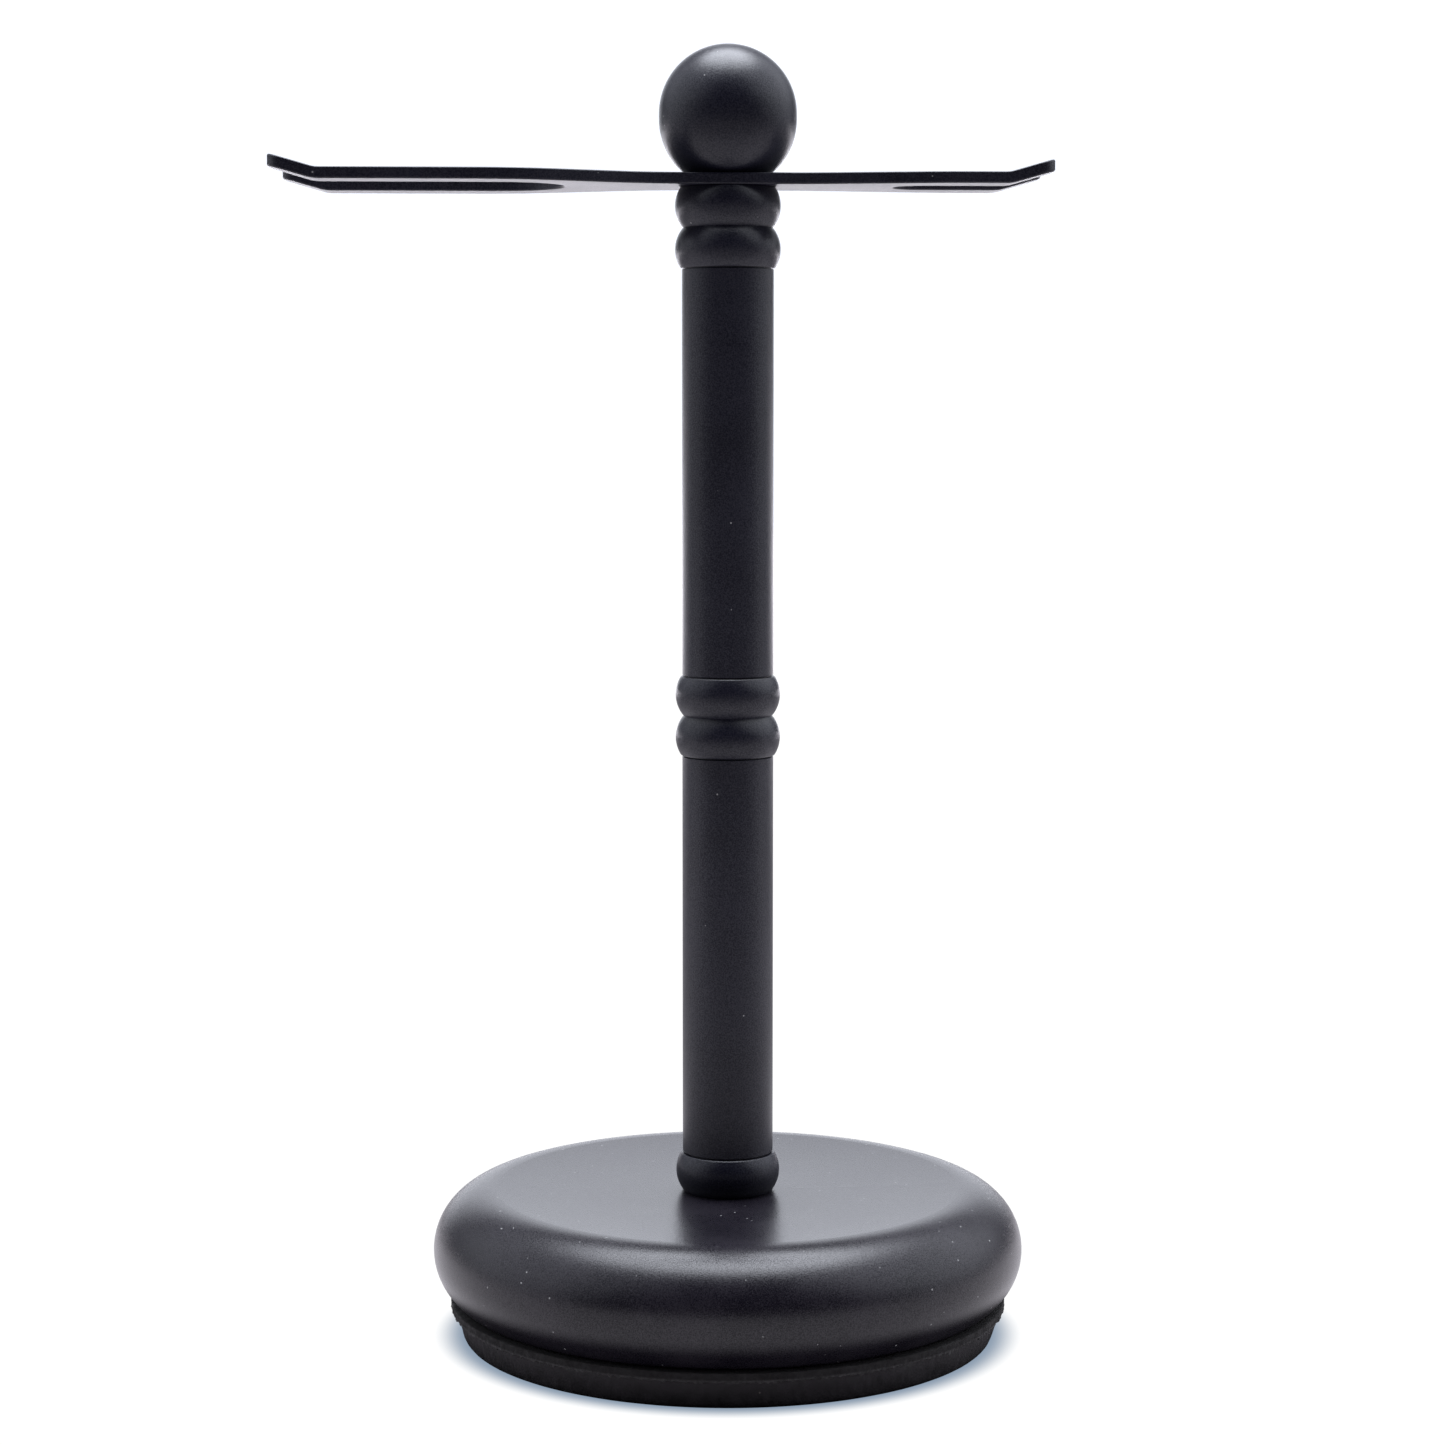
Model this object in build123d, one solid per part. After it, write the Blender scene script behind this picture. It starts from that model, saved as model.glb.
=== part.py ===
from build123d import *
import math
import os

# Two-station razor stand.  Millimetres, +Z up.  The origin is the centre of the
# underside of the foot pad, on the axis of the post.  The holder plate lies along X:
# its wide brush fork points to -X and its narrow razor fork to +X.

# ---------------------------------------------------------------- driving dimensions
PAD_THICKNESS = 3.7
PAD_FLOOR_RADIUS = 35.5
PAD_TOP_RADIUS = 36.0
PAD_EDGE = 0.15
DISC_THICKNESS = 1.3
DISC_RADIUS = 37.0

RIM_CENTRE_RADIUS = 31.3
RIM_CENTRE_Z = 11.7
RIM_RADIUS = 7.95
SHELL_WALL = 2.2
SHELL_MOUTH_RADIUS = 33.4
SHELL_INNER_SWEEP = 50.0
SEAT_RADIUS = 7.5
DISH_SLOPE = 3.1

POST_RADIUS = 6.0
TUBE_WALL = 1.0
TUBE_LENGTH = 53.3
TUBE_EDGE = 0.08
SEAM_DEPTH = 0.35
SEAM_WIDTH = 0.16
BEAD_LENGTH = 5.2
BEAD_RADIUS = 6.88
BEAD_GROOVE_RADIUS = 5.85
BEAD_END_RADIUS = 6.25
BEAD_CROWN = 0.545
BEAD_EDGE = 0.12

PLATE_THICKNESS = 1.5
PLATE_EDGE = 0.22
BRUSH_TIP = 58.4
BRUSH_HALF_WIDTH = 14.0
BRUSH_SHOULDER = 27.5
BRUSH_SLOT_WIDTH = 16.5
BRUSH_SLOT_END = 21.2
RAZOR_TIP = 41.6
RAZOR_HALF_WIDTH = 9.5
RAZOR_SHOULDER = 27.5
RAZOR_SLOT_WIDTH = 7.6
RAZOR_SLOT_END = 21.5
WAIST_HALF_WIDTH = 6.3
WAIST_HALF_LENGTH = 9.7
LIP_REACH = 6.4
LIP_ANGLE = 16.0
LIP_BEND_RADIUS = 5.0
FORK_CORNER = 1.9
BRUSH_SHOULDER_ROUND = 24.0
RAZOR_SHOULDER_ROUND = 30.0

BALL_RADIUS = 8.95
BALL_FLAT_RADIUS = 5.32
BALL_BELT = 0.7

THREAD_RADIUS = 3.0
TAPPED_RADIUS = 3.02
RUNNING_RADIUS = 3.08
CLEARANCE_RADIUS = 3.3
PLUG_LENGTH = 12.0
PLUG_FIT = 0.02
STUD_LENGTH = 30.0
STUD_CHAMFER = 0.5
INSERT_RADIUS = 4.0
INSERT_LENGTH = 9.0
INSERT_RECESS = 0.2
INSERT_FIT = 0.04
INSERT_BORE_RADIUS = 3.05
INSERT_EDGE = 0.3
INSERT_GROOVE_DEPTH = 0.4
INSERT_GROOVE_WIDTH = 1.6
STUD_IN_INSERT = 8.05
STUD_RELIEF = 1.5

BALLAST_RADIUS = 30.0
BALLAST_Z = 6.5
BALLAST_EDGE = 1.0
BALLAST_POCKET_RADIUS = 7.5
BALLAST_POCKET_DEPTH = 5.0
SCREW_LENGTH = 25.0
SCREW_HEAD_RADIUS = 5.4
SCREW_HEAD_HEIGHT = 3.3
SCREW_SOCKET_FLATS = 4.0
SCREW_SOCKET_DEPTH = 2.0
FLAT_WASHER_RADIUS = 6.2
FLAT_WASHER_THICKNESS = 1.2
LOCK_WASHER_RADIUS = 5.2
LOCK_WASHER_THICKNESS = 1.4
LOCK_WASHER_SLIT = 0.8

# How far the cutting shapes run past the stock that they cut.
OVERRUN = 5.0
# An edge leaning less than this from upright, as the cosine of its lean, stays sharp.
UPRIGHT = 0.9

# ------------------------------------------------------------------- derived heights
BASE_Z = PAD_THICKNESS + DISC_THICKNESS
DISH_ANGLE = math.radians(DISH_SLOPE)
DISH_RUN = RIM_CENTRE_RADIUS - RIM_RADIUS * math.sin(DISH_ANGLE) - SEAT_RADIUS
DISH_RISE = DISH_RUN * math.tan(DISH_ANGLE / 2)
SEAT_Z = RIM_CENTRE_Z + RIM_RADIUS * math.cos(DISH_ANGLE) - DISH_RISE
COLLAR_LENGTH = 2 * BEAD_LENGTH
LOWER_TUBE_Z = SEAT_Z + BEAD_LENGTH
MIDDLE_COLLAR_Z = LOWER_TUBE_Z + TUBE_LENGTH
UPPER_TUBE_Z = MIDDLE_COLLAR_Z + COLLAR_LENGTH
UPPER_COLLAR_Z = UPPER_TUBE_Z + TUBE_LENGTH
PLATE_Z = UPPER_COLLAR_Z + COLLAR_LENGTH
BALL_Z = PLATE_Z + PLATE_THICKNESS
INSERT_Z = BALL_Z + INSERT_RECESS
TOP_STUD_Z = INSERT_Z + STUD_IN_INSERT - STUD_LENGTH
MIDDLE_STUD_Z = MIDDLE_COLLAR_Z + BEAD_LENGTH - STUD_LENGTH / 2
FLAT_WASHER_Z = BALLAST_Z + BALLAST_POCKET_DEPTH - FLAT_WASHER_THICKNESS
LOCK_WASHER_Z = FLAT_WASHER_Z - LOCK_WASHER_THICKNESS


# --------------------------------------------------------------------- small helpers
def on_section(radius, z):
    """A point of a turned section: radius from the post axis, and height."""
    return Vector(radius, 0, z)


def lathe(*edges):
    """Turned solid: a closed section in the XZ plane, revolved about Z."""
    return revolve(make_face(list(edges)), Axis.Z, 360)


def turned(*points):
    """Turned solid whose section is made of straight lines only."""
    corners = [on_section(radius, z) for radius, z in points]
    return lathe(Polyline(*corners, corners[0]))


def ring(outer, inner, z, height):
    """Plain washer or tube standing at height z."""
    return turned((inner, z), (outer, z), (outer, z + height), (inner, z + height))


def rod(radius, z, length, chamfer_size):
    """Round bar along Z with both ends chamfered."""
    top = z + length
    return turned(
        (0, z),
        (radius - chamfer_size, z),
        (radius, z + chamfer_size),
        (radius, top - chamfer_size),
        (radius - chamfer_size, top),
        (0, top),
    )


def save(shape, node):
    export_step(shape, "parts/" + node + ".step")


# -------------------------------------------------------------------------- the base
def foot_pad():
    """Rubber pad: its wall leans out a little, and its bottom edge is eased."""
    return turned(
        (0, 0),
        (PAD_FLOOR_RADIUS - PAD_EDGE, 0),
        (PAD_FLOOR_RADIUS, PAD_EDGE),
        (PAD_TOP_RADIUS, PAD_THICKNESS),
        (0, PAD_THICKNESS),
    )


def closing_disc():
    """Punched disc that closes the hollow base and stands out past its edge."""
    return ring(DISC_RADIUS, 0, PAD_THICKNESS, DISC_THICKNESS)


def rim_point(radius, degrees):
    """A point of the rolled rim, at an angle above the horizontal."""
    angle = math.radians(degrees)
    return on_section(
        RIM_CENTRE_RADIUS + radius * math.cos(angle),
        RIM_CENTRE_Z + radius * math.sin(angle),
    )


def rim_arc(radius, sweep_below):
    """Rolled rim from the edge of the dish, round its widest point, to below it."""
    return ThreePointArc(
        rim_point(radius, 90 + DISH_SLOPE), rim_point(radius, 0), rim_point(radius, -sweep_below)
    )


def base_shell():
    """Domed shell: flat seat for the post, shallow dish, then the rolled rim."""
    ceiling = SEAT_Z - SHELL_WALL
    outer_sweep = math.degrees(math.asin((RIM_CENTRE_Z - BASE_Z) / RIM_RADIUS))
    outer = rim_arc(RIM_RADIUS, outer_sweep)
    inner = rim_arc(RIM_RADIUS - SHELL_WALL, SHELL_INNER_SWEEP)
    mouth = on_section(SHELL_MOUTH_RADIUS, BASE_Z)
    seat_edge = on_section(SEAT_RADIUS, SEAT_Z)
    ceiling_edge = on_section(SEAT_RADIUS, ceiling)
    dish = TangentArc(seat_edge, outer @ 0, tangent=(1, 0, 0))
    inner_dish = TangentArc(ceiling_edge, inner @ 0, tangent=(1, 0, 0))
    return lathe(
        Line(on_section(CLEARANCE_RADIUS, SEAT_Z), seat_edge),
        dish,
        outer,
        Line(outer @ 1, mouth),
        Line(mouth, inner @ 1),
        inner,
        inner_dish,
        Line(ceiling_edge, on_section(CLEARANCE_RADIUS, ceiling)),
        Line(on_section(CLEARANCE_RADIUS, ceiling), on_section(CLEARANCE_RADIUS, SEAT_Z)),
    )


def ballast_weight():
    """Cast disc that fills the shell, with a pocket below for the screw head."""
    top = SEAT_Z - SHELL_WALL
    pocket_top = BALLAST_Z + BALLAST_POCKET_DEPTH
    return turned(
        (CLEARANCE_RADIUS, top),
        (BALLAST_RADIUS - BALLAST_EDGE, top),
        (BALLAST_RADIUS, top - BALLAST_EDGE),
        (BALLAST_RADIUS, BALLAST_Z + BALLAST_EDGE),
        (BALLAST_RADIUS - BALLAST_EDGE, BALLAST_Z),
        (BALLAST_POCKET_RADIUS, BALLAST_Z),
        (BALLAST_POCKET_RADIUS, pocket_top),
        (CLEARANCE_RADIUS, pocket_top),
    )


def base_screw():
    """Socket screw that pulls the post down onto the base from below."""
    head_z = LOCK_WASHER_Z - SCREW_HEAD_HEIGHT
    end = LOCK_WASHER_Z + SCREW_LENGTH
    body = turned(
        (0, head_z),
        (SCREW_HEAD_RADIUS - STUD_CHAMFER, head_z),
        (SCREW_HEAD_RADIUS, head_z + STUD_CHAMFER),
        (SCREW_HEAD_RADIUS, LOCK_WASHER_Z),
        (THREAD_RADIUS, LOCK_WASHER_Z),
        (THREAD_RADIUS, end - STUD_CHAMFER),
        (THREAD_RADIUS - STUD_CHAMFER, end),
        (0, end),
    )
    hexagon = RegularPolygon(SCREW_SOCKET_FLATS / 2, 6, major_radius=False)
    return body - extrude(Pos(0, 0, head_z) * hexagon, SCREW_SOCKET_DEPTH)


def base_lock_washer():
    """Split spring washer, with its slit."""
    washer = ring(LOCK_WASHER_RADIUS, TAPPED_RADIUS, LOCK_WASHER_Z, LOCK_WASHER_THICKNESS)
    slit = Box(2 * LOCK_WASHER_RADIUS, LOCK_WASHER_SLIT, 2 * LOCK_WASHER_THICKNESS)
    middle = LOCK_WASHER_Z + LOCK_WASHER_THICKNESS / 2
    return washer - Pos(LOCK_WASHER_RADIUS, 0, middle) * slit


# -------------------------------------------------------------------------- the post
def bead_arc(groove_z, end_z):
    """Outer arc of one bead, from its groove to its outer end."""
    crown_z = groove_z + BEAD_CROWN * (end_z - groove_z)
    return ThreePointArc(
        on_section(BEAD_GROOVE_RADIUS, groove_z),
        on_section(BEAD_RADIUS, crown_z),
        on_section(BEAD_END_RADIUS, end_z),
    )


def double_collar(z):
    """Turned collar of two beads with a sharp groove between them."""
    top = z + COLLAR_LENGTH
    groove = z + BEAD_LENGTH
    upper = bead_arc(groove, top - BEAD_EDGE)
    lower = bead_arc(groove, z + BEAD_EDGE)
    face_radius = BEAD_END_RADIUS - BEAD_EDGE
    return lathe(
        upper,
        Line(upper @ 1, on_section(face_radius, top)),
        Line(on_section(face_radius, top), on_section(CLEARANCE_RADIUS, top)),
        Line(on_section(CLEARANCE_RADIUS, top), on_section(CLEARANCE_RADIUS, z)),
        Line(on_section(CLEARANCE_RADIUS, z), on_section(face_radius, z)),
        Line(on_section(face_radius, z), lower @ 1),
        lower,
    )


def single_collar():
    """Turned collar of one bead, seated in the dish of the base."""
    top = LOWER_TUBE_Z
    bead = bead_arc(SEAT_Z, top - BEAD_EDGE)
    face_radius = BEAD_END_RADIUS - BEAD_EDGE
    return lathe(
        bead,
        Line(bead @ 1, on_section(face_radius, top)),
        Line(on_section(face_radius, top), on_section(CLEARANCE_RADIUS, top)),
        Line(on_section(CLEARANCE_RADIUS, top), on_section(CLEARANCE_RADIUS, SEAT_Z)),
        Line(on_section(CLEARANCE_RADIUS, SEAT_Z), bead @ 0),
    )


def post_tube(z):
    """One of the two equal tubes of the post, with a fine shadow groove at each end."""
    bore = POST_RADIUS - TUBE_WALL
    neck = POST_RADIUS - SEAM_DEPTH
    shoulder = POST_RADIUS - TUBE_EDGE
    top = z + TUBE_LENGTH
    low_seam = z + SEAM_WIDTH
    high_seam = top - SEAM_WIDTH
    return turned(
        (bore, z),
        (neck, z),
        (neck, low_seam),
        (shoulder, low_seam),
        (POST_RADIUS, low_seam + TUBE_EDGE),
        (POST_RADIUS, high_seam - TUBE_EDGE),
        (shoulder, high_seam),
        (neck, high_seam),
        (neck, top),
        (bore, top),
    )


def tube_plug(z):
    """Tapped plug pressed into the end of a tube."""
    return ring(POST_RADIUS - TUBE_WALL - PLUG_FIT, TAPPED_RADIUS, z, PLUG_LENGTH)


# ------------------------------------------------------------------------ the holder
def half_outline(side):
    """The plate's outline on one side of X: brush fork, waist, razor fork."""
    return [
        (-BRUSH_TIP, side * BRUSH_HALF_WIDTH),
        (-BRUSH_SHOULDER, side * BRUSH_HALF_WIDTH),
        (-WAIST_HALF_LENGTH, side * WAIST_HALF_WIDTH),
        (WAIST_HALF_LENGTH, side * WAIST_HALF_WIDTH),
        (RAZOR_SHOULDER, side * RAZOR_HALF_WIDTH),
        (RAZOR_TIP, side * RAZOR_HALF_WIDTH),
    ]


def open_slot(tip, end, width):
    """An open-ended slot: round at its inner end and straight out to the tip."""
    direction = math.copysign(1, tip)
    centre = end + direction * width / 2
    reach = abs(tip - centre) + OVERRUN
    channel = Pos(centre + direction * reach / 2, 0) * Rectangle(reach, width)
    return channel + Pos(centre, 0) * Circle(width / 2)


def corners_between(plan, low, high):
    """Corners of a flat outline whose X lies between two values."""
    return [vertex for vertex in plan.vertices() if low < vertex.X < high]


def plate_outline():
    """Plan view of the plate before its ends are bent up."""
    corners = half_outline(1) + half_outline(-1)[::-1]
    plan = make_face(Polyline(*corners, corners[0]))
    plan = fillet(corners_between(plan, FORK_CORNER - BRUSH_TIP, 0), BRUSH_SHOULDER_ROUND)
    plan = fillet(corners_between(plan, 0, RAZOR_TIP - FORK_CORNER), RAZOR_SHOULDER_ROUND)
    plan -= open_slot(-BRUSH_TIP, -BRUSH_SLOT_END, BRUSH_SLOT_WIDTH)
    plan -= open_slot(RAZOR_TIP, RAZOR_SLOT_END, RAZOR_SLOT_WIDTH)
    brush_corners = plan.vertices().group_by(Axis.X)[0]
    plan = fillet(brush_corners, FORK_CORNER)
    razor_corners = plan.vertices().group_by(Axis.X)[-1]
    plan = fillet(razor_corners, FORK_CORNER)
    return plan - Circle(RUNNING_RADIUS)


def bent_edge(side, tip, offset):
    """Edge of the sheet from the middle to one tip, at an offset above its underside."""
    angle = math.radians(LIP_ANGLE)
    radius = LIP_BEND_RADIUS - offset
    centre_x = tip - LIP_REACH
    centre_z = PLATE_Z + LIP_BEND_RADIUS
    bend_end = (centre_x + radius * math.sin(angle), centre_z - radius * math.cos(angle))
    bend_mid = (centre_x + radius * math.sin(angle / 2), centre_z - radius * math.cos(angle / 2))
    run = LIP_REACH + OVERRUN
    tip_end = (bend_end[0] + run * math.cos(angle), bend_end[1] + run * math.sin(angle))
    start = Vector(0, 0, PLATE_Z + offset)
    bend_start = Vector(side * centre_x, 0, PLATE_Z + offset)
    middle = Vector(side * bend_mid[0], 0, bend_mid[1])
    finish = Vector(side * bend_end[0], 0, bend_end[1])
    return [
        Line(start, bend_start),
        ThreePointArc(bend_start, middle, finish),
        Line(finish, Vector(side * tip_end[0], 0, tip_end[1])),
    ]


def bent_sheet(side, tip):
    """Half of the bent sheet, from the middle past one tip, wider than the plate."""
    lower = bent_edge(side, tip, 0)
    upper = bent_edge(side, tip, PLATE_THICKNESS)
    close = Line(lower[-1] @ 1, upper[-1] @ 1)
    middle = Line(upper[0] @ 0, lower[0] @ 0)
    section = make_face(lower + [close] + upper + [middle])
    return extrude(section, BRUSH_HALF_WIDTH + OVERRUN, dir=(0, 1, 0), both=True)


def holder_plate():
    """Two-forked plate cut from sheet, both ends bent up, all edges eased."""
    sheet = bent_sheet(-1, BRUSH_TIP) + bent_sheet(1, RAZOR_TIP)
    punch = extrude(Pos(0, 0, PLATE_Z - OVERRUN) * plate_outline(), 3 * OVERRUN)
    plate = sheet & punch
    eased = [edge for edge in plate.edges() if abs((edge % 0.5).Z) < UPRIGHT]
    return fillet(eased, PLATE_EDGE)


# ------------------------------------------------------------------------ the finial
def ball_finial():
    """Ball knob: sphere with a narrow belt, a flat underside and a stepped bore."""
    lower_centre = BALL_Z + math.sqrt(BALL_RADIUS**2 - BALL_FLAT_RADIUS**2)
    upper_centre = lower_centre + BALL_BELT
    bore = INSERT_RADIUS + INSERT_FIT
    insert_top = INSERT_Z + INSERT_LENGTH
    half = math.sqrt(0.5) * BALL_RADIUS
    lean = -math.acos(BALL_FLAT_RADIUS / BALL_RADIUS) / 2
    flat_edge = on_section(BALL_FLAT_RADIUS, BALL_Z)
    belt_low = on_section(BALL_RADIUS, lower_centre)
    belt_high = on_section(BALL_RADIUS, upper_centre)
    crown = on_section(0, upper_centre + BALL_RADIUS)
    on_lower = on_section(BALL_RADIUS * math.cos(lean), lower_centre + BALL_RADIUS * math.sin(lean))
    on_upper = on_section(half, upper_centre + half)
    step = insert_top + PLUG_FIT
    roof = step + STUD_RELIEF
    return lathe(
        Line(on_section(bore, BALL_Z), flat_edge),
        ThreePointArc(flat_edge, on_lower, belt_low),
        Line(belt_low, belt_high),
        ThreePointArc(belt_high, on_upper, crown),
        Line(crown, on_section(0, roof)),
        Line(on_section(0, roof), on_section(CLEARANCE_RADIUS, roof)),
        Line(on_section(CLEARANCE_RADIUS, roof), on_section(CLEARANCE_RADIUS, step)),
        Line(on_section(CLEARANCE_RADIUS, step), on_section(bore, step)),
        Line(on_section(bore, step), on_section(bore, BALL_Z)),
    )


def finial_insert():
    """Tapped brass insert of the ball, with one retaining groove."""
    top = INSERT_Z + INSERT_LENGTH
    groove_low = (INSERT_Z + top - INSERT_GROOVE_WIDTH) / 2
    groove_high = groove_low + INSERT_GROOVE_WIDTH
    groove_radius = INSERT_RADIUS - INSERT_GROOVE_DEPTH
    return turned(
        (INSERT_BORE_RADIUS, INSERT_Z),
        (INSERT_RADIUS - INSERT_EDGE, INSERT_Z),
        (INSERT_RADIUS, INSERT_Z + INSERT_EDGE),
        (INSERT_RADIUS, groove_low),
        (groove_radius, groove_low + INSERT_GROOVE_DEPTH),
        (groove_radius, groove_high - INSERT_GROOVE_DEPTH),
        (INSERT_RADIUS, groove_high),
        (INSERT_RADIUS, top - INSERT_EDGE),
        (INSERT_RADIUS - INSERT_EDGE, top),
        (INSERT_BORE_RADIUS, top),
    )


# --------------------------------------------------------------------- the whole set
NODES = {
    "foot_pad": foot_pad(),
    "closing_disc": closing_disc(),
    "base_shell": base_shell(),
    "ballast_weight": ballast_weight(),
    "base_screw": base_screw(),
    "base_lock_washer": base_lock_washer(),
    "base_flat_washer": ring(
        FLAT_WASHER_RADIUS, CLEARANCE_RADIUS, FLAT_WASHER_Z, FLAT_WASHER_THICKNESS
    ),
    "lower_collar": single_collar(),
    "lower_tube": post_tube(LOWER_TUBE_Z),
    "lower_tube_foot_plug": tube_plug(LOWER_TUBE_Z),
    "lower_tube_head_plug": tube_plug(MIDDLE_COLLAR_Z - PLUG_LENGTH),
    "middle_stud": rod(THREAD_RADIUS, MIDDLE_STUD_Z, STUD_LENGTH, STUD_CHAMFER),
    "middle_collar": double_collar(MIDDLE_COLLAR_Z),
    "upper_tube": post_tube(UPPER_TUBE_Z),
    "upper_tube_foot_plug": tube_plug(UPPER_TUBE_Z),
    "upper_tube_head_plug": tube_plug(UPPER_COLLAR_Z - PLUG_LENGTH),
    "top_stud": rod(THREAD_RADIUS, TOP_STUD_Z, STUD_LENGTH, STUD_CHAMFER),
    "upper_collar": double_collar(UPPER_COLLAR_Z),
    "holder_plate": holder_plate(),
    "finial_insert": finial_insert(),
    "ball_finial": ball_finial(),
}

os.makedirs("parts", exist_ok=True)
for node, shape in NODES.items():
    save(shape, node)
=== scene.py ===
import math

import bpy
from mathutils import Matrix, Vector, noise


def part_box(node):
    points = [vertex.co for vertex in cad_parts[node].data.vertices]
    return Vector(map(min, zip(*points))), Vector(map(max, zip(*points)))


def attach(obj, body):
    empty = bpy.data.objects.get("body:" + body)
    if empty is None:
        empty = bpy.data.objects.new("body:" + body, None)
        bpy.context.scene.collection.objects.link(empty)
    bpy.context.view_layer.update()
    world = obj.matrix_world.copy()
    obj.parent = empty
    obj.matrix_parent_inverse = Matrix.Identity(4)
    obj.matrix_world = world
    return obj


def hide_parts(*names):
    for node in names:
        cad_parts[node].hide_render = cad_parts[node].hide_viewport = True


# Two-station razor stand in satin black.  Everything is in metres, in the frame of the
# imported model: the origin is the centre of the pad's underside, the post stands on Z and
# the holder plate lies along X, with its brush fork towards -X.

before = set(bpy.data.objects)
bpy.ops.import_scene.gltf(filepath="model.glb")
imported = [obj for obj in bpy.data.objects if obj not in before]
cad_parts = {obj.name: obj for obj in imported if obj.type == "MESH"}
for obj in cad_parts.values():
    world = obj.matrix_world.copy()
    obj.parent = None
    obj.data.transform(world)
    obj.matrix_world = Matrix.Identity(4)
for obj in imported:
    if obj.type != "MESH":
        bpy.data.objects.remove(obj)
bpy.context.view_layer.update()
MM = 0.001

# ------------------------------------------------------------------------- the camera
# Focal length and sensor are in millimetres.  Side is how far the camera stands round from
# straight in front, and aim how far it then looks past the post.
FOCAL_LENGTH = 79.8
SENSOR_WIDTH = 36.0
CAMERA_DISTANCE = 0.4209
CAMERA_HEIGHT = 0.1223
CAMERA_SIDE = math.radians(-2.8)
CAMERA_AIM = math.radians(0.095)
CAMERA_PITCH = math.radians(-5.503)


def make_camera():
    """The viewpoint: level with the upper half of the post, looking slightly down."""
    data = bpy.data.cameras.new("camera")
    data.lens = FOCAL_LENGTH
    data.sensor_width = SENSOR_WIDTH
    data.clip_start = 0.01
    camera = bpy.data.objects.new("camera", data)
    camera.rotation_euler = (math.pi / 2 + CAMERA_PITCH, 0, CAMERA_SIDE + CAMERA_AIM)
    camera.location = (
        CAMERA_DISTANCE * math.sin(CAMERA_SIDE),
        -CAMERA_DISTANCE * math.cos(CAMERA_SIDE),
        CAMERA_HEIGHT,
    )
    bpy.context.scene.collection.objects.link(camera)
    bpy.context.scene.camera = camera


# ------------------------------------------------------------------- material helpers
class Recipe:
    """A node material being put together around one Principled shader."""

    def __init__(self, name):
        self.material = bpy.data.materials.new(name)
        self.material.use_nodes = True
        self.nodes = self.material.node_tree.nodes
        self.links = self.material.node_tree.links
        self.shader = self.nodes["Principled BSDF"]
        self.place = self.nodes.new("ShaderNodeTexCoord").outputs["Object"]

    def add(self, kind, settings=None, **inputs):
        """A node of one kind, with its settings and its inputs by name or number."""
        node = self.nodes.new(kind)
        for key, value in (settings or {}).items():
            setattr(node, key, value)
        for key, value in inputs.items():
            socket = node.inputs[int(key[1:])] if key[0] == "_" else node.inputs[key]
            if isinstance(value, bpy.types.NodeSocket):
                self.links.new(value, socket)
            else:
                socket.default_value = value
        return node

    def grain(self, size, detail=2.0, roughness=0.5, place=None):
        """Noise from 0 to 1 with features of one size, in metres."""
        node = self.add(
            "ShaderNodeTexNoise",
            Vector=place or self.place,
            Scale=1 / size,
            Detail=detail,
            Roughness=roughness,
        )
        return node.outputs["Fac"]

    def ramp(self, value, low, high, out_low=0.0, out_high=1.0):
        """A value moved smoothly from one range to another."""
        node = self.add(
            "ShaderNodeMapRange",
            {"interpolation_type": "SMOOTHSTEP"},
            _0=value,
            _1=low,
            _2=high,
            _3=out_low,
            _4=out_high,
        )
        return node.outputs["Result"]

    def maths(self, operation, first, second):
        node = self.add("ShaderNodeMath", {"operation": operation}, _0=first, _1=second)
        return node.outputs[0]

    def blend(self, share, first, second):
        """Colour that goes from the first to the second as share goes from 0 to 1."""
        node = self.add("ShaderNodeMix", {"data_type": "RGBA"})
        for number, value in ((0, share), (6, first), (7, second)):
            if isinstance(value, bpy.types.NodeSocket):
                self.links.new(value, node.inputs[number])
            elif number == 0:
                node.inputs[number].default_value = value
            else:
                node.inputs[number].default_value = (*value, 1.0)
        return node.outputs[2]

    def flecks(self, cell, radius, kept, stretch=(1, 1, 1), turn=0.0):
        """Sparse flecks: 1 on a small spot in a few of the cells, 0 elsewhere."""
        mapped = self.add(
            "ShaderNodeMapping",
            _0=self.place,
            _2=(turn, turn, turn),
            _3=stretch,
        ).outputs[0]
        cells = self.add("ShaderNodeTexVoronoi", Vector=mapped, Scale=1 / cell)
        spot = self.ramp(cells.outputs["Distance"], radius / cell * 0.5, radius / cell, 1.0, 0.0)
        pick = self.add("ShaderNodeSeparateColor", _0=cells.outputs["Color"]).outputs[0]
        chosen = self.maths("LESS_THAN", pick, kept)
        return self.maths("MULTIPLY", spot, chosen)

    def bump(self, height, distance, strength=1.0, under=None):
        node = self.add("ShaderNodeBump", Height=height, Distance=distance, Strength=strength)
        if under is not None:
            self.links.new(under, node.inputs["Normal"])
        return node.outputs["Normal"]

    def set(self, **inputs):
        """Sets the shader's sockets; an underscore stands for a space."""
        for key, value in inputs.items():
            socket = self.shader.inputs[key.replace("_", " ")]
            if isinstance(value, bpy.types.NodeSocket):
                self.links.new(value, socket)
            else:
                socket.default_value = value
        return self.material


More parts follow.
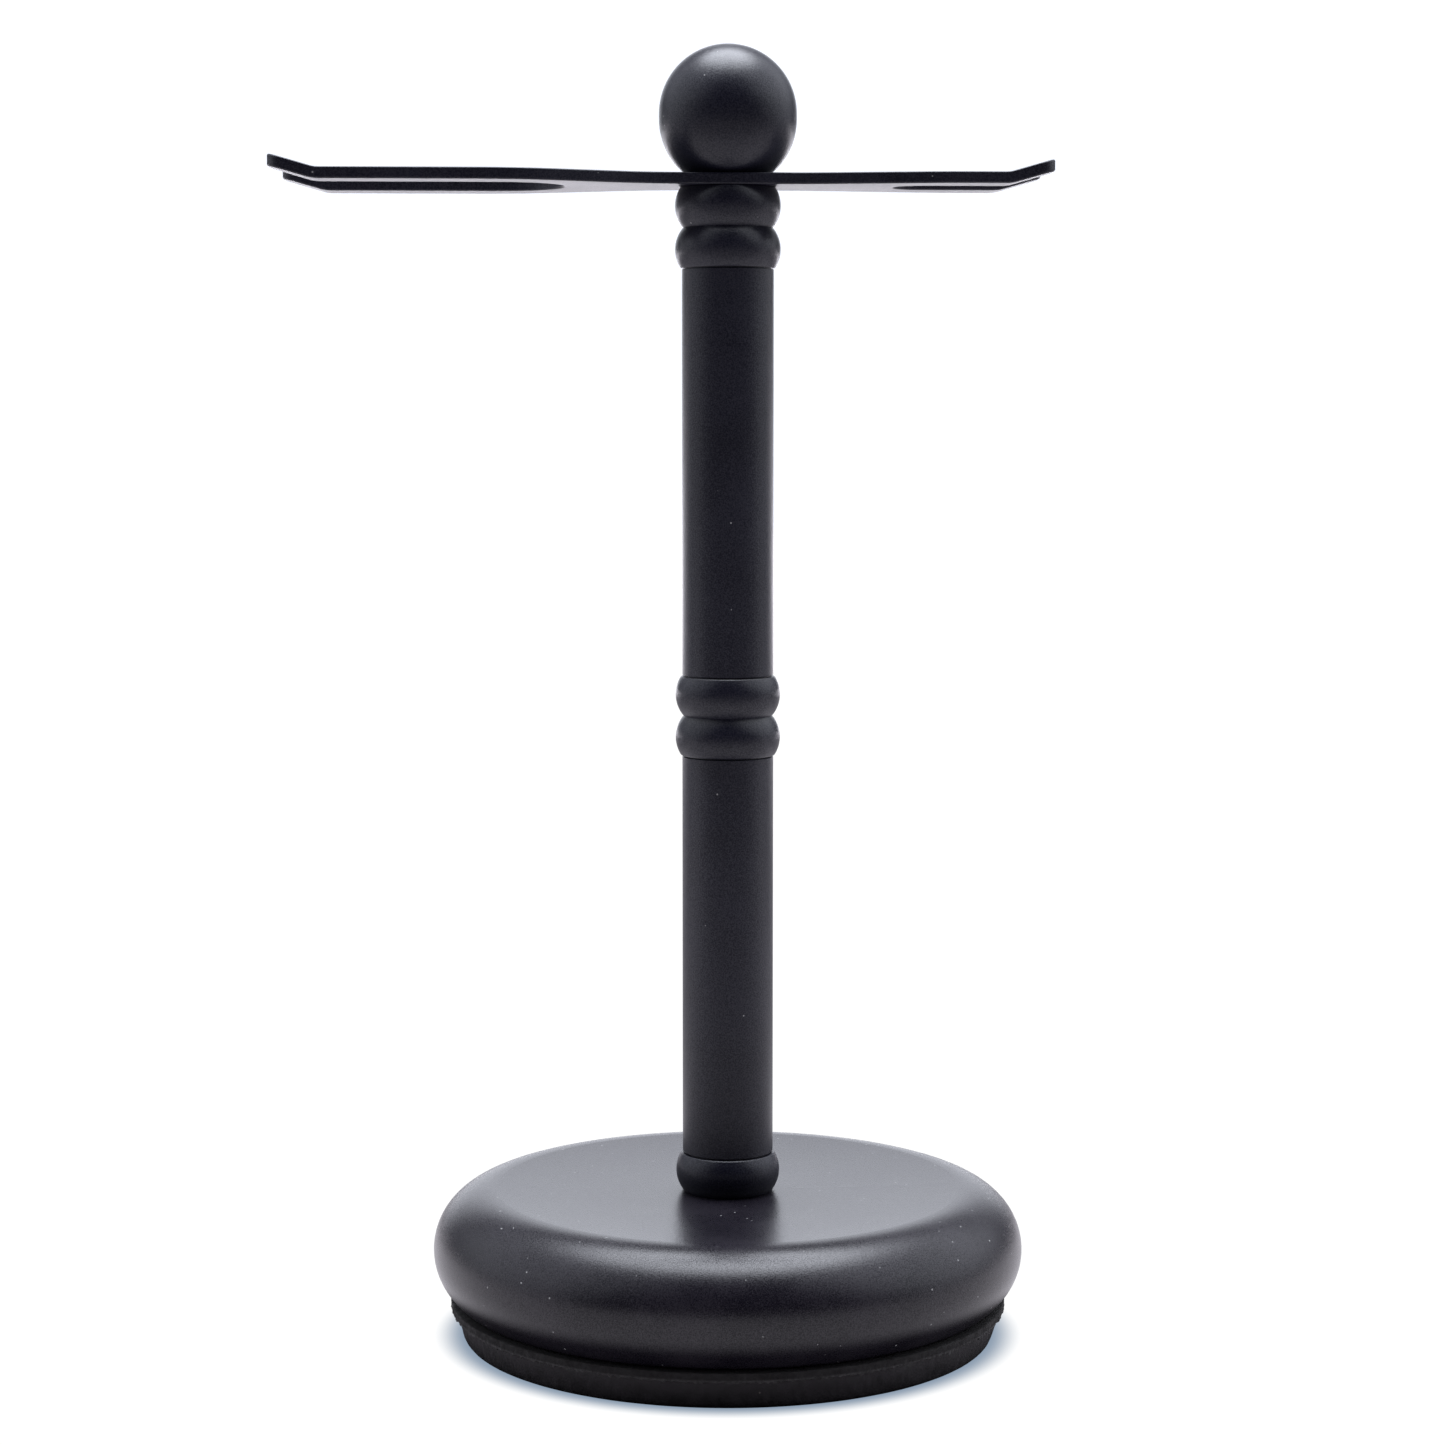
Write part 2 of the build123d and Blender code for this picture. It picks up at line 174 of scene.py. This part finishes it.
# ------------------------------------------------------------------------ the finishes
def satin_black(name, dark, light, rough_low, rough_high, dust, scratches):
    """Baked satin enamel: fine grain and orange peel, a little dust and a few hairlines."""
    r = Recipe(name)
    cloud = r.grain(9 * MM, 3)
    peel = r.grain(0.45 * MM, 2)
    fine = r.grain(0.16 * MM, 1)
    specks = r.flecks(1.7 * MM, 0.15 * MM, dust)
    hairs = r.flecks(2.0 * MM, 0.10 * MM, scratches, (1.0, 1.0, 0.16), 0.25)
    marks = r.maths("MAXIMUM", specks, hairs)
    mixed = r.maths("ADD", r.maths("MULTIPLY", cloud, 0.5), r.maths("MULTIPLY", fine, 0.5))
    colour = r.blend(r.ramp(mixed, 0.36, 0.64), dark, light)
    colour = r.blend(r.maths("MULTIPLY", marks, 0.55), colour, (0.42, 0.42, 0.42))
    uneven = r.maths("ADD", r.maths("MULTIPLY", cloud, 0.25), fine)
    rough = r.ramp(uneven, 0.4, 0.85, rough_low, rough_high)
    rough = r.maths("MAXIMUM", rough, r.maths("MULTIPLY", marks, 0.75))
    sheen = r.ramp(fine, 0.32, 0.68, 0.36, 0.64)
    normal = r.bump(peel, 0.014 * MM, 0.4, r.bump(fine, 0.016 * MM, 0.8))
    return r.set(
        Base_Color=colour,
        Roughness=rough,
        Specular_IOR_Level=sheen,
        Normal=normal,
        IOR=1.36,
    )


def foot_rubber():
    """Black foam rubber: matt, close-celled, with pale grit picked up from use."""
    r = Recipe("foot_rubber")
    cells = r.add("ShaderNodeTexVoronoi", Vector=r.place, Scale=1 / (0.32 * MM))
    tone = r.grain(1.6 * MM, 4, 0.6)
    colour = r.blend(r.ramp(tone, 0.3, 0.7), (0.0078, 0.0062, 0.0080), (0.0185, 0.0150, 0.0185))
    grit = r.flecks(1.8 * MM, 0.18 * MM, 0.35)
    colour = r.blend(r.maths("MULTIPLY", grit, 0.35), colour, (0.30, 0.27, 0.25))
    pits = r.bump(cells.outputs["Distance"], 0.05 * MM, 0.5)
    normal = r.bump(tone, 0.08 * MM, 0.5, pits)
    rough = r.ramp(tone, 0.2, 0.8, 0.62, 0.88)
    return r.set(Base_Color=colour, Roughness=rough, Normal=normal)


# The closing disc's lower lip is pale and torn up to the first height, and from the second its
# side is darkened with painted shade.
LIP_TOP = 3.85 * MM
SHADE_START = 4.20 * MM


def black_fibre():
    """Punched fibre board, dyed through: a side darkened by painted shade over a torn, hairy
    lower lip.
    """
    r = Recipe("black_fibre")
    stretched = r.add("ShaderNodeMapping", _0=r.place, _3=(1.0, 1.0, 3.5)).outputs[0]
    fibres = r.grain(0.45 * MM, 5, 0.7, stretched)
    torn = r.grain(1.3 * MM, 3, 0.6)
    mixed = r.maths("MULTIPLY", fibres, torn)
    height = r.add("ShaderNodeSeparateXYZ", _0=r.place).outputs["Z"]
    # Painted shade: above the lip the side is made darker and less shiny, standing in for the
    # base's shadow.
    side = r.ramp(height, LIP_TOP, SHADE_START)
    lip = r.blend(r.ramp(mixed, 0.15, 0.42), (0.012, 0.011, 0.012), (0.050, 0.046, 0.048))
    colour = r.blend(side, lip, (0.0065, 0.0055, 0.0062))
    normal = r.bump(fibres, 0.10 * MM, 0.8)
    rough = r.ramp(torn, 0.3, 0.7, 0.70, 0.92)
    shine = r.ramp(side, 0.0, 1.0, 0.5, 0.30)
    return r.set(Base_Color=colour, Roughness=rough, Specular_IOR_Level=shine, Normal=normal)


def plated_metal(name, dark, light, rough_low, rough_high):
    """Turned and plated metal: fine rings round the axis and a cloudy plating."""
    r = Recipe(name)
    parts = r.add("ShaderNodeSeparateXYZ", _0=r.place)
    rings = r.add("ShaderNodeTexNoise", {"noise_dimensions": "1D"}, Scale=1 / (0.12 * MM))
    r.links.new(parts.outputs["Z"], rings.inputs["W"])
    cloud = r.grain(2.5 * MM, 3)
    colour = r.blend(r.ramp(cloud, 0.3, 0.7), dark, light)
    rough = r.ramp(r.maths("ADD", cloud, rings.outputs["Fac"]), 0.7, 1.3, rough_low, rough_high)
    normal = r.bump(rings.outputs["Fac"], 0.006 * MM, 0.5)
    return r.set(Base_Color=colour, Roughness=rough, Normal=normal, Metallic=1.0)


def cast_iron():
    """Sand-cast ballast, left as cast."""
    r = Recipe("ballast_iron")
    sand = r.grain(0.6 * MM, 5, 0.65)
    rust = r.grain(6 * MM, 4, 0.6)
    colour = r.blend(r.ramp(rust, 0.52, 0.72), (0.050, 0.048, 0.047), (0.085, 0.050, 0.034))
    normal = r.bump(sand, 0.15 * MM, 0.8)
    rough = r.ramp(sand, 0.3, 0.7, 0.55, 0.80)
    return r.set(Base_Color=colour, Roughness=rough, Normal=normal, Metallic=0.7)


# ------------------------------------------------------------------------ mesh helpers
def new_piece(name, vertices, faces, material, body, sharp_angle=40):
    """A mesh object with smooth shading that breaks at sharp edges."""
    mesh = bpy.data.meshes.new(name)
    mesh.from_pydata(vertices, [], faces)
    mesh.validate()
    mesh.polygons.foreach_set("use_smooth", [True] * len(mesh.polygons))
    mesh.set_sharp_from_angle(angle=math.radians(sharp_angle))
    mesh.materials.append(material)
    piece = bpy.data.objects.new(name, mesh)
    bpy.context.scene.collection.objects.link(piece)
    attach(piece, body)
    return piece


def ring_points(count, place):
    """One ring of points round the Z axis; place gives (radius, z) for an angle."""
    points = []
    for step in range(count):
        angle = 2 * math.pi * step / count
        radius, z = place(angle)
        points.append((radius * math.cos(angle), radius * math.sin(angle), z))
    return points


def skin_rings(rings):
    """Faces that join a stack of rings from the bottom up, with a cap at each end."""
    count = len(rings[0])
    vertices = [point for ring in rings for point in ring]
    faces = []
    for level in range(len(rings) - 1):
        low = level * count
        high = low + count
        for step in range(count):
            after = (step + 1) % count
            faces.append((low + step, low + after, high + after, high + step))
    top = (len(rings) - 1) * count
    faces.append(tuple(reversed(range(count))))
    faces.append(tuple(range(top, top + count)))
    return vertices, faces


# ------------------------------------------------------------------ the two foot layers
EDGE_STEPS = 2160
# The disc's edge is built outwards from this far inside it.
EDGE_RING = 3.0 * MM


def wavering(angle, radius, z, size, seed):
    """Smooth random value from -1 to 1 for a point of a round edge."""
    spot = Vector((radius * math.cos(angle), radius * math.sin(angle), z)) / size
    return noise.noise(spot + Vector((seed, seed, seed)))


def torn_disc(finish):
    """The closing disc, its punched edge torn and its lower burr hanging a little."""
    low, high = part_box("closing_disc")
    radius = high.x

    def edge(inset, height, bite, drop, seed):
        def place(angle):
            coarse = wavering(angle, radius, height, 1.7 * MM, seed)
            fine = wavering(angle, radius, height, 0.42 * MM, seed + 7)
            hanging = wavering(angle, radius, 0.0, 0.5 * MM, 29)
            wear = bite * (0.65 * coarse + 0.75 * fine - 0.2)
            return radius - inset + wear, height - drop * max(0.0, hanging + 0.6 * coarse)
        return place

    thick = high.z - low.z
    # From the floor side up: inset, share of the thickness, depth of bites, hanging burr.
    levels = (
        (0.60, 0.00, 0.04, 0.00),
        (0.34, 0.00, 0.18, 0.26),
        (0.14, 0.03, 0.24, 0.34),
        (0.02, 0.14, 0.20, 0.20),
        (0.00, 0.32, 0.14, 0.06),
        (0.00, 0.54, 0.10, 0.00),
        (0.00, 0.76, 0.08, 0.00),
        (0.04, 0.92, 0.06, 0.00),
        (0.20, 1.00, 0.02, 0.00),
    )
    rings = [ring_points(EDGE_STEPS, lambda angle: (radius - EDGE_RING, low.z))]
    for number, (inset, share, bite, drop) in enumerate(levels):
        height = low.z + share * thick
        place = edge(inset * MM, height, bite * MM, drop * MM, 11 + 0.35 * number)
        rings.append(ring_points(EDGE_STEPS, place))
    rings.append(ring_points(EDGE_STEPS, lambda angle: (radius - EDGE_RING, high.z)))
    vertices, faces = skin_rings(rings)
    piece = new_piece("closing_disc_torn", vertices, faces, finish, "stand")
    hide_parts("closing_disc")


def worn_pad(finish):
    """The rubber pad: narrower at the floor, with a slightly uneven cut wall."""
    low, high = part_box("foot_pad")
    top_radius = high.x
    thick = high.z - low.z
    # From the floor up: inset, share of the thickness, depth of waviness.
    levels = (
        (0.95, 0.00, 0.02),
        (0.78, 0.04, 0.05),
        (0.64, 0.12, 0.10),
        (0.46, 0.26, 0.14),
        (0.28, 0.42, 0.16),
        (0.10, 0.58, 0.16),
        (-0.04, 0.72, 0.16),
        (-0.16, 0.86, 0.14),
        (-0.24, 0.97, 0.10),
        (-0.12, 1.00, 0.02),
    )

    def wall(inset, height, bite):
        def place(angle):
            coarse = wavering(angle, top_radius, height, 4.5 * MM, 3)
            fine = wavering(angle, top_radius, height, 0.8 * MM, 5)
            return top_radius - inset + bite * (coarse + 0.6 * fine), height
        return place

    rings = []
    for inset, share, bite in levels:
        place = wall(inset * MM, low.z + share * thick, bite * MM)
        rings.append(ring_points(EDGE_STEPS, place))
    vertices, faces = skin_rings(rings)
    piece = new_piece("foot_pad_rubber", vertices, faces, finish, "stand", 60)
    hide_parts("foot_pad")


# ------------------------------------------------------------------------- the threads
PITCH = 1.0 * MM
THREAD_DEPTH = 0.54 * MM
THREAD_STEPS = 48
ROWS_PER_PITCH = 12
# Share of the pitch that is flat at the root, and share that the flanks take up.
ROOT_FLAT = 0.14
FLANKS = 0.72
# How fast the radius grows from a bevelled end, per length from the end.
END_BEVEL = 1.1
SCREW_RADIUS = 3.0 * MM


def thread_radius(angle, z, low, high, major):
    """Radius of an M6 screw at a point: flat crests, sloping flanks, bevelled ends."""
    turn = (z / PITCH - angle / (2 * math.pi)) % 1.0
    flank = abs(2 * turn - 1)
    crest = min(max((flank - ROOT_FLAT) / FLANKS, 0.0), 1.0)
    radius = major - THREAD_DEPTH * (1 - crest)
    end = min(z - low, high - z)
    return min(radius, major - THREAD_DEPTH + END_BEVEL * end)


def thread_rings(low, high, major, stub_low=True):
    """Rings of a threaded length of rod, from low to high."""
    rows = round((high - low) / PITCH * ROWS_PER_PITCH)
    rings = []
    for row in range(rows + 1):
        z = low + (high - low) * row / rows
        start = low if stub_low else low - 5 * MM
        rings.append(
            ring_points(
                THREAD_STEPS,
                lambda angle, z=z: (thread_radius(angle, z, start, high, major), z),
            )
        )
    return rings


def threaded_stud(node, finish):
    """A stud with a real helical thread from end to end."""
    low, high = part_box(node)
    vertices, faces = skin_rings(thread_rings(low.z, high.z, high.x))
    piece = new_piece(node + "_threaded", vertices, faces, finish, "stand", 50)
    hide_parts(node)


HEX_FLATS = 4.0 * MM
HEX_DEPTH = 2.0 * MM
HEAD_HEIGHT = 3.3 * MM
HEAD_BEVEL = 0.5 * MM
KNURL_RIDGES = 48
KNURL_DEPTH = 0.12 * MM


def hexagon_radius(angle, flats):
    """Radius of a hexagon, by angle."""
    sector = math.radians(60)
    within = (angle + sector / 2) % sector - sector / 2
    return flats / 2 / math.cos(within)


def socket_screw(finish):
    """The base screw: hexagon socket, knurled head, threaded shank."""
    low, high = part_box("base_screw")
    head_top = low.z + HEAD_HEIGHT
    head = high.x
    major = SCREW_RADIUS
    floor_z = low.z + HEX_DEPTH

    def circle(radius, z):
        return ring_points(THREAD_STEPS * 2, lambda angle: (radius, z))

    def hexagon(z):
        return ring_points(THREAD_STEPS * 2, lambda angle: (hexagon_radius(angle, HEX_FLATS), z))

    def knurl(z):
        return ring_points(
            THREAD_STEPS * 2,
            lambda angle: (head - KNURL_DEPTH * (0.5 - 0.5 * math.cos(KNURL_RIDGES * angle)), z),
        )

    rings = [
        circle(0.2 * MM, floor_z),
        hexagon(floor_z),
        hexagon(low.z),
        circle(head - HEAD_BEVEL, low.z),
        knurl(low.z + HEAD_BEVEL),
        knurl(head_top),
        circle(major + 0.15 * MM, head_top),
        circle(major - THREAD_DEPTH / 2, head_top + 0.3 * MM),
    ]
    rows = round((high.z - head_top) / PITCH * ROWS_PER_PITCH)
    for row in range(4, rows + 1):
        z = head_top + (high.z - head_top) * row / rows
        rings.append(
            ring_points(
                THREAD_STEPS * 2,
                lambda angle, z=z: (thread_radius(angle, z, low.z, high.z, major), z),
            )
        )
    vertices, faces = skin_rings(rings)
    piece = new_piece("base_screw_threaded", vertices, faces, finish, "stand", 35)
    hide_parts("base_screw")


# --------------------------------------------------------------- the finished CAD nodes
def finish_node(node, material):
    """A CAD node that keeps its shape gets its finish."""
    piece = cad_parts[node]
    piece.data.materials.clear()
    piece.data.materials.append(material)


# -------------------------------------------------------------- floor, world and lights
# The photo's background is overexposed, so the camera sees floor and world as white, and
# the light on the stand is set apart from that.  Lengths are metres from the post's axis.
FLOOR_SIZE = 6.0
FLOOR_SEEN = 1.05
# The painted contact shadow, from under the pad to where it has faded.
SHADOW_EDGE = 0.0350
SHADOW_END = 0.0400
SHADOW_TINT = (0.26, 0.33, 0.42)
# Painted shade: the floor gives no light under the base, and its full glow from the second
# radius.
DARK_END = 0.0385
BRIGHT_START = 0.0465
# The glow in front, by distance towards the camera: far off, then near the stand.
FRONT_FAR = -0.30
FRONT_NEAR = -0.10
FRONT_GLOW = 0.55
NEAR_GLOW = 1.3
# Close behind the stand only a share of it is left.
BEHIND_START = 0.06
BEHIND_END = 0.20
BEHIND_SHARE = 0.42
# Far behind, the floor rises to its brightest.
BACK_START = 0.70
BACK_END = 1.70
BACK_GLOW = 5.0
FLOOR_COLOUR = (1.0, 0.97, 1.05)


def make_floor():
    """Pale sweep, seen as even white with a painted contact shadow; it lights the stand from
    below.
    """
    half = FLOOR_SIZE / 2
    mesh = bpy.data.meshes.new("floor")
    corners = [(-half, -half, 0), (half, -half, 0), (half, half, 0), (-half, half, 0)]
    mesh.from_pydata(corners, [], [(0, 1, 2, 3)])
    floor = bpy.data.objects.new("floor", mesh)
    bpy.context.scene.collection.objects.link(floor)
    r = Recipe("floor_white")
    distance = r.add("ShaderNodeVectorMath", {"operation": "LENGTH"}, _0=r.place).outputs["Value"]
    back = r.add("ShaderNodeSeparateXYZ", _0=r.place).outputs["Y"]
    # Painted contact shadow: the colour the camera sees darkens towards the pad.
    shaded = r.ramp(distance, SHADOW_EDGE, SHADOW_END)
    seen = r.blend(shaded, SHADOW_TINT, (1.0, 1.0, 1.0))
    open_floor = r.ramp(distance, DARK_END, BRIGHT_START)
    front = r.ramp(back, FRONT_FAR, FRONT_NEAR, FRONT_GLOW, NEAR_GLOW)
    share = r.ramp(back, BEHIND_START, BEHIND_END, 1.0, BEHIND_SHARE)
    far = r.ramp(back, BACK_START, BACK_END, 0.0, BACK_GLOW)
    near = r.maths("MULTIPLY", front, share)
    glow = r.maths("MULTIPLY", open_floor, r.maths("ADD", near, far))
    camera_ray = r.add("ShaderNodeLightPath").outputs["Is Camera Ray"]
    strength = r.add("ShaderNodeMix", _0=camera_ray, _2=glow, _3=FLOOR_SEEN).outputs[0]
    r.set(
        Base_Color=(0.0, 0.0, 0.0, 1.0),
        Roughness=0.9,
        Specular_IOR_Level=0.0,
        Emission_Color=r.blend(camera_ray, FLOOR_COLOUR, seen),
        Emission_Strength=strength,
    )
    mesh.materials.append(r.material)


SEEN_WHITE = 1.1
ROOM_GLOW = 0.02
LAMP_COLOUR = (0.95, 0.985, 1.07)


class Sky:
    """Soft studio light put together from smooth glows, each round one direction."""

    def __init__(self):
        world = bpy.data.worlds.new("studio")
        bpy.context.scene.world = world
        world.use_nodes = True
        self.nodes = world.node_tree.nodes
        self.links = world.node_tree.links
        self.direction = self.nodes.new("ShaderNodeTexCoord").outputs["Generated"]
        self.total = None

    def slope(self, value, low, high, out_low, out_high):
        node = self.nodes.new("ShaderNodeMapRange")
        node.interpolation_type = "SMOOTHSTEP"
        self.links.new(value, node.inputs[0])
        for number, setting in enumerate((low, high, out_low, out_high)):
            node.inputs[number + 1].default_value = setting
        return node.outputs[0]

    def join(self, operation, first, second):
        node = self.nodes.new("ShaderNodeMath")
        node.operation = operation
        self.links.new(first, node.inputs[0])
        self.links.new(second, node.inputs[1])
        return node.outputs[0]

    def add(self, glow):
        self.total = glow if self.total is None else self.join("ADD", self.total, glow)

    def lobe(self, side, height, inner, outer, strength):
        """Round glow: degrees right of straight behind, degrees up, and its two radii."""
        turn = math.radians(side)
        rise = math.radians(height)
        node = self.nodes.new("ShaderNodeVectorMath")
        node.operation = "DOT_PRODUCT"
        self.links.new(self.direction, node.inputs[0])
        node.inputs[1].default_value = (
            math.sin(turn) * math.cos(rise),
            math.cos(turn) * math.cos(rise),
            math.sin(rise),
        )
        far = math.cos(math.radians(outer))
        near = math.cos(math.radians(inner))
        self.add(self.slope(node.outputs["Value"], far, near, 0.0, strength))

    def finish(self):
        seen = self.nodes.new("ShaderNodeLightPath").outputs["Is Camera Ray"]
        mix = self.nodes.new("ShaderNodeMix")
        self.links.new(seen, mix.inputs[0])
        room = self.nodes.new("ShaderNodeMath")
        room.operation = "ADD"
        self.links.new(self.total, room.inputs[0])
        room.inputs[1].default_value = ROOM_GLOW
        self.links.new(room.outputs[0], mix.inputs[2])
        mix.inputs[3].default_value = SEEN_WHITE
        background = self.nodes["Background"]
        self.links.new(mix.outputs[0], background.inputs["Strength"])
        background.inputs["Color"].default_value = (*LAMP_COLOUR, 1.0)


def make_sky():
    """The photographer's tent: one big lamp overhead, softer walls at both sides and behind."""
    sky = Sky()
    sky.lobe(1, 79, 12, 33, 13.8)
    sky.lobe(83, 41, 5, 54, 2.2)
    sky.lobe(-83, 37, 5, 55, 1.4)
    sky.lobe(0, 5, 7, 34, 1.9)
    sky.finish()


# ------------------------------------------------------------------------------- build
make_camera()
bpy.context.scene.view_settings.view_transform = "Standard"

post_black = satin_black(
    "satin_black_post",
    (0.0040, 0.0041, 0.0092),
    (0.0105, 0.0105, 0.0180),
    0.30,
    0.38,
    dust=0.10,
    scratches=0.02,
)
base_black = satin_black(
    "satin_black_base",
    (0.0035, 0.0028, 0.0055),
    (0.0110, 0.0095, 0.0135),
    0.26,
    0.33,
    dust=0.45,
    scratches=0.25,
)
zinc = plated_metal("zinc_steel", (0.50, 0.51, 0.53), (0.66, 0.66, 0.64), 0.24, 0.40)
brass = plated_metal("insert_brass", (0.70, 0.46, 0.17), (0.84, 0.60, 0.27), 0.20, 0.36)

POST_NODES = (
    "lower_collar",
    "lower_tube",
    "middle_collar",
    "upper_tube",
    "upper_collar",
    "holder_plate",
    "ball_finial",
)
ZINC_NODES = (
    "base_lock_washer",
    "base_flat_washer",
    "lower_tube_foot_plug",
    "lower_tube_head_plug",
    "upper_tube_foot_plug",
    "upper_tube_head_plug",
)
for node in POST_NODES:
    finish_node(node, post_black)
for node in ZINC_NODES:
    finish_node(node, zinc)
finish_node("base_shell", base_black)
finish_node("ballast_weight", cast_iron())
finish_node("finial_insert", brass)

torn_disc(black_fibre())
worn_pad(foot_rubber())
threaded_stud("middle_stud", zinc)
threaded_stud("top_stud", zinc)
socket_screw(zinc)

make_floor()
make_sky()
